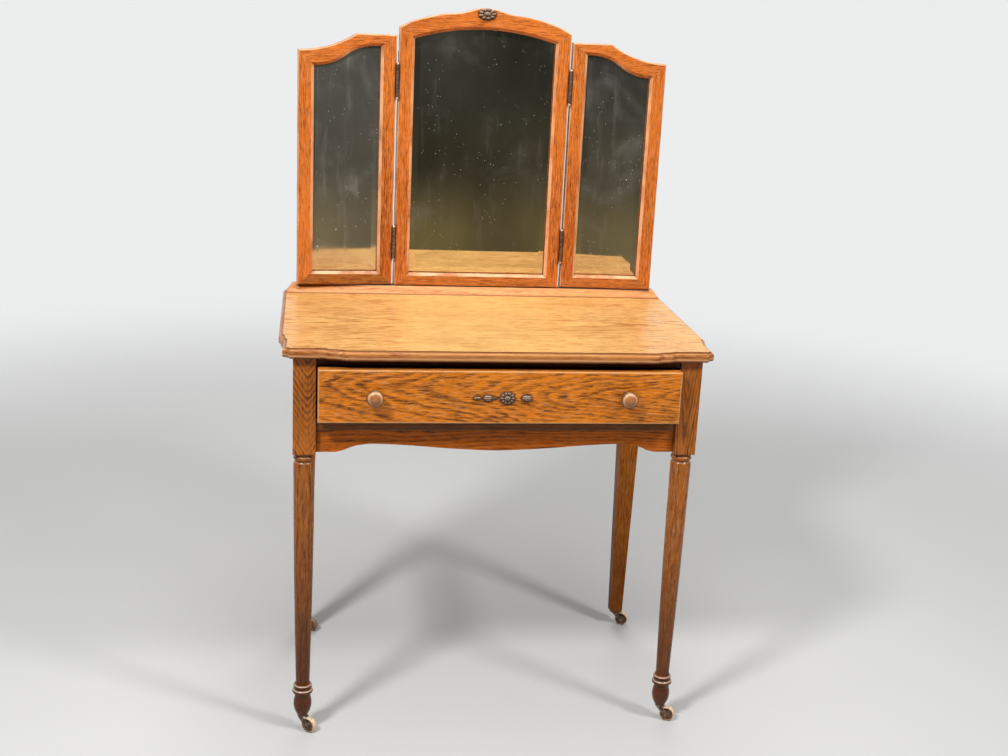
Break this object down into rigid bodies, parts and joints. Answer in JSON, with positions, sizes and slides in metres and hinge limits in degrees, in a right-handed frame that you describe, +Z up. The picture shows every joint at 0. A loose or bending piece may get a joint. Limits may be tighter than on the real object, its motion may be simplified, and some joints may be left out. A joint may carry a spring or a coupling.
{
  "type": "dressing table with folding mirrors",
  "caption": "Oak dressing table with a shallow drawer, turned front legs on casters and a scroll-topped mirror whose side wings fold on hinges.",
  "frame": {"origin": "middle of the footprint at floor level, from the knobs' tips to the backs of the mirror posts", "axes": "+X to the right as seen from the front, +Y to the back, +Z up"},
  "size_m": [0.795, 0.532, 1.3409],
  "materials": {
    "top_oak": "polished oak, light orange, glossy",
    "frame_oak": "orange-brown oak, varnished",
    "drawer_oak": "honey-brown oak with worn pale edges",
    "leg_oak": "reddish brown, varnished and scuffed",
    "inner_oak": "bare, unpolished",
    "backing": "bare softwood, darkened",
    "carving": "dark stained, rubbed high spots",
    "knob_wood": "worn and pale, satin",
    "silvered_glass": "aged silvering, bevelled edge",
    "aged_brass": "dull, dark patina",
    "steel": "dull",
    "iron": "dark, worn",
    "wheel_wood": "cream, worn tread"
  },
  "bodies": {
    "table": {"table_top": "top_oak", "mirror_plinth": "frame_oak", "front_leg_left": "leg_oak", "rear_leg_left": "leg_oak", "front_leg_right": "leg_oak", "rear_leg_right": "leg_oak", "side_rail_left": "drawer_oak", "side_rail_right": "drawer_oak", "drawer_top_rail": "frame_oak", "drawer_bottom_rail": "frame_oak", "drawer_runners": "inner_oak", "drawer_kickers": "inner_oak", "front_apron": "drawer_oak", "glue_blocks": "inner_oak", "post_screws": "steel", "mirror_posts": "backing", "back_rail": "backing", "center_stile_left": "frame_oak", "center_stile_right": "frame_oak", "center_bottom_rail": "frame_oak", "center_crest_rail": "frame_oak", "center_glass": "silvered_glass", "center_backboard": "backing", "crest_rosette": "carving", "hinge_frame_leaves": "aged_brass", "hinge_pins": "aged_brass", "hinge_frame_screws": "steel", "caster_sockets": "iron"},
    "drawer": {"drawer_front": "drawer_oak", "drawer_side_left": "inner_oak", "drawer_side_right": "inner_oak", "drawer_back": "inner_oak", "drawer_bottom": "inner_oak", "drawer_knobs": "knob_wood", "knob_screws": "steel", "drawer_carving": "carving"},
    "left_wing": {"left_wing_hinge_stile": "frame_oak", "left_wing_outer_stile": "frame_oak", "left_wing_bottom_rail": "frame_oak", "left_wing_top_rail": "frame_oak", "left_wing_glass": "silvered_glass", "left_wing_backboard": "backing", "left_wing_hinge_leaves": "aged_brass", "left_wing_hinge_screw_set": "steel"},
    "right_wing": {"right_wing_hinge_stile": "frame_oak", "right_wing_outer_stile": "frame_oak", "right_wing_bottom_rail": "frame_oak", "right_wing_top_rail": "frame_oak", "right_wing_glass": "silvered_glass", "right_wing_backboard": "backing", "right_wing_hinge_leaves": "aged_brass", "right_wing_hinge_screw_set": "steel"},
    "caster_swivel_front_left": {"caster_horn_front_left": "iron"},
    "caster_roller_front_left": {"caster_wheel_front_left": "wheel_wood"},
    "caster_swivel_front_right": {"caster_horn_front_right": "iron"},
    "caster_roller_front_right": {"caster_wheel_front_right": "wheel_wood"},
    "caster_swivel_rear_left": {"caster_horn_rear_left": "iron"},
    "caster_roller_rear_left": {"caster_wheel_rear_left": "wheel_wood"},
    "caster_swivel_rear_right": {"caster_horn_rear_right": "iron"},
    "caster_roller_rear_right": {"caster_wheel_rear_right": "wheel_wood"}
  },
  "joints": [
    {"name": "drawer_slide", "type": "slide", "parent": "table", "child": "drawer", "axis": [0, -1, 0], "range_m": [-0.0305, 0.25]},
    {"name": "left_wing_hinge", "type": "hinge", "parent": "table", "child": "left_wing", "pos_m": [-0.1744, 0.223, 1.03], "axis": [0, 0, 1], "range_deg": [-4.6, 115.4]},
    {"name": "right_wing_hinge", "type": "hinge", "parent": "table", "child": "right_wing", "pos_m": [0.1744, 0.223, 1.03], "axis": [0, 0, -1], "range_deg": [-1.9, 118.1]},
    {"name": "front_left_swivel", "type": "hinge", "parent": "table", "child": "caster_swivel_front_left", "pos_m": [-0.35, -0.1925, 0.0445], "axis": [0, 0, 1], "continuous": true},
    {"name": "front_left_wheel_spin", "type": "hinge", "parent": "caster_swivel_front_left", "child": "caster_roller_front_left", "pos_m": [-0.33739, -0.20235, 0.0145], "axis": [0.6157, 0.788, 0], "continuous": true},
    {"name": "front_right_swivel", "type": "hinge", "parent": "table", "child": "caster_swivel_front_right", "pos_m": [0.35, -0.1925, 0.0445], "axis": [0, 0, 1], "continuous": true},
    {"name": "front_right_wheel_spin", "type": "hinge", "parent": "caster_swivel_front_right", "child": "caster_roller_front_right", "pos_m": [0.36438, -0.19951, 0.0145], "axis": [0.4384, 0.8988, 0], "continuous": true},
    {"name": "rear_left_swivel", "type": "hinge", "parent": "table", "child": "caster_swivel_rear_left", "pos_m": [-0.3485, 0.225, 0.0445], "axis": [0, 0, 1], "continuous": true},
    {"name": "rear_left_wheel_spin", "type": "hinge", "parent": "caster_swivel_rear_left", "child": "caster_roller_rear_left", "pos_m": [-0.33464, 0.217, 0.0145], "axis": [0.5, 0.866, 0], "continuous": true},
    {"name": "rear_right_swivel", "type": "hinge", "parent": "table", "child": "caster_swivel_rear_right", "pos_m": [0.3485, 0.225, 0.0445], "axis": [0, 0, 1], "continuous": true},
    {"name": "rear_right_wheel_spin", "type": "hinge", "parent": "caster_swivel_rear_right", "child": "caster_roller_rear_right", "pos_m": [0.36333, 0.21901, 0.0145], "axis": [0.3746, 0.9272, 0], "continuous": true}
  ]
}
